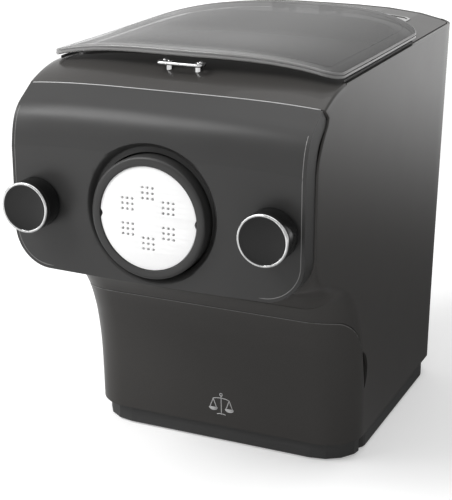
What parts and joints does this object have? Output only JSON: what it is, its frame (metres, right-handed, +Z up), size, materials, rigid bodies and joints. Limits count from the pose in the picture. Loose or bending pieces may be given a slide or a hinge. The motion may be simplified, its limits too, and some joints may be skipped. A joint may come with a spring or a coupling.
{
  "type": "electric pasta maker",
  "caption": "Domestic pasta extruder with a clear-lidded kneading chamber, a front panel holding a shaping disc and knobs, and a storage drawer.",
  "frame": {"origin": "bottom centre of the bounding box, on the surface the feet stand on", "axes": "+X to the right seen from the front, +Y to the back, +Z up"},
  "size_m": [0.215, 0.3382, 0.31],
  "materials": {
    "body_gloss": "dark warm grey gloss with a metallic tint",
    "panel_satin": "fine satin charcoal",
    "inner_plastic": "moulded dark grey",
    "base_plastic": "satin near-black",
    "foot_rubber": "soft black rubber",
    "cell_aluminium": "machined",
    "food_plastic": "smooth light grey",
    "disc_white": "smooth white",
    "knob_black": "piano black",
    "trim_chrome": "polished chrome",
    "steel": "bright steel",
    "window_dark": "dark brown smoked window",
    "button_grey": "light grey keys",
    "board": "green laminate",
    "lid_clear": "smoky transparent plastic",
    "bush_brass": "turned"
  },
  "bodies": {
    "housing": {"side_panel_left": "body_gloss", "side_panel_right": "body_gloss", "neck_cover": "body_gloss", "head_housing": "body_gloss", "top_deck": "body_gloss", "rear_cover": "body_gloss", "drawer_bay": "base_plastic", "base_plate": "base_plastic", "foot_front_left": "foot_rubber", "foot_front_right": "foot_rubber", "foot_rear_left": "foot_rubber", "foot_rear_right": "foot_rubber", "load_cell_front_left": "cell_aluminium", "load_cell_front_right": "cell_aluminium", "load_cell_rear_left": "cell_aluminium", "load_cell_rear_right": "cell_aluminium", "extrusion_tube": "food_plastic", "mixing_chamber": "food_plastic", "control_bezel": "trim_chrome", "display_window": "window_dark", "control_board": "board", "lid_pin_left": "steel", "lid_pin_right": "steel", "latch_post_left": "trim_chrome", "latch_post_right": "trim_chrome", "shaft_bush_front": "bush_brass", "shaft_bush_rear": "bush_brass", "gearbox_housing": "inner_plastic", "gearbox_cover": "inner_plastic", "motor": "steel", "motor_cradle": "steel", "power_inlet": "base_plastic", "switch_housing": "base_plastic"},
    "drawer": {"drawer_cover": "body_gloss", "drawer_tray": "inner_plastic", "drawer_plinth": "base_plastic"},
    "front_panel": {"front_panel": "panel_satin"},
    "knob_left": {"knob_left": "knob_black", "knob_ring_left": "trim_chrome", "knob_screw_left": "steel"},
    "knob_right": {"knob_right": "knob_black", "knob_ring_right": "trim_chrome", "knob_screw_right": "steel"},
    "ring_nut": {"ring_nut": "panel_satin"},
    "shaping_disc": {"shaping_disc": "disc_white"},
    "auger": {"kneading_auger": "food_plastic", "drive_shaft": "steel", "final_gear": "steel"},
    "layshaft": {"layshaft_gear": "steel"},
    "rotor": {"motor_pinion": "steel", "motor_fan": "inner_plastic"},
    "lid": {"lid": "lid_clear"},
    "latch_bail": {"latch_bail": "trim_chrome"},
    "power_switch": {"power_switch": "knob_black"},
    "program_button_1": {"program_button_1": "button_grey"},
    "program_button_2": {"program_button_2": "button_grey"},
    "program_button_3": {"program_button_3": "button_grey"},
    "program_button_4": {"program_button_4": "button_grey"},
    "power_button": {"power_button": "button_grey"},
    "start_button": {"start_button": "button_grey"}
  },
  "joints": [
    {"name": "drawer_slide", "type": "slide", "parent": "housing", "child": "drawer", "axis": [0, -1, 0], "range_m": [0, 0.09]},
    {"name": "panel_off", "type": "slide", "parent": "housing", "child": "front_panel", "axis": [0, -1, 0], "range_m": [0, 0.06]},
    {"name": "knob_left_turn", "type": "hinge", "parent": "front_panel", "child": "knob_left", "pos_m": [-0.08555, -0.15855, 0.2071], "axis": [0, -1, 0], "range_deg": [0, 1080]},
    {"name": "knob_right_turn", "type": "hinge", "parent": "front_panel", "child": "knob_right", "pos_m": [0.08555, -0.15855, 0.2071], "axis": [0, -1, 0], "range_deg": [0, 1080]},
    {"name": "ring_nut_turn", "type": "hinge", "parent": "housing", "child": "ring_nut", "pos_m": [0, -0.14855, 0.2069], "axis": [0, -1, 0], "range_deg": [0, 90]},
    {"name": "disc_out", "type": "slide", "parent": "housing", "child": "shaping_disc", "axis": [0, -1, 0], "range_m": [0, 0.03]},
    {"name": "auger_spin", "type": "hinge", "parent": "housing", "child": "auger", "pos_m": [0, 0.00145, 0.2069], "axis": [0, 1, 0], "continuous": true},
    {"name": "layshaft_spin", "type": "hinge", "parent": "housing", "child": "layshaft", "pos_m": [0, 0.12145, 0.1564], "axis": [0, 1, 0], "continuous": true},
    {"name": "motor_spin", "type": "hinge", "parent": "housing", "child": "rotor", "pos_m": [0, 0.09145, 0.1203], "axis": [0, 1, 0], "continuous": true},
    {"name": "lid_open", "type": "hinge", "parent": "housing", "child": "lid", "pos_m": [0, 0.12295, 0.30655], "axis": [-1, 0, 0], "range_deg": [0, 95]},
    {"name": "bail_swing", "type": "hinge", "parent": "housing", "child": "latch_bail", "pos_m": [0, -0.10105, 0.2976], "axis": [1, 0, 0], "range_deg": [0, 25]},
    {"name": "switch_rock", "type": "hinge", "parent": "housing", "child": "power_switch", "pos_m": [0.055, 0.14295, 0.042], "axis": [1, 0, 0], "range_deg": [0, 16]},
    {"name": "program_press_1", "type": "slide", "parent": "housing", "child": "program_button_1", "axis": [0, 0, -1], "range_m": [0, 0.001], "stiffness_N_per_m": 300},
    {"name": "program_press_2", "type": "slide", "parent": "housing", "child": "program_button_2", "axis": [0, 0, -1], "range_m": [0, 0.001], "stiffness_N_per_m": 300},
    {"name": "program_press_3", "type": "slide", "parent": "housing", "child": "program_button_3", "axis": [0, 0, -1], "range_m": [0, 0.001], "stiffness_N_per_m": 300},
    {"name": "program_press_4", "type": "slide", "parent": "housing", "child": "program_button_4", "axis": [0, 0, -1], "range_m": [0, 0.001], "stiffness_N_per_m": 300},
    {"name": "power_press", "type": "slide", "parent": "housing", "child": "power_button", "axis": [0, 0, -1], "range_m": [0, 0.001], "stiffness_N_per_m": 300},
    {"name": "start_press", "type": "slide", "parent": "housing", "child": "start_button", "axis": [0, 0, -1], "range_m": [0, 0.001], "stiffness_N_per_m": 300}
  ],
  "couplings": [
    {"joint": "layshaft_spin", "follows": "auger_spin", "ratio": -3.6667},
    {"joint": "motor_spin", "follows": "auger_spin", "ratio": 14.667}
  ]
}
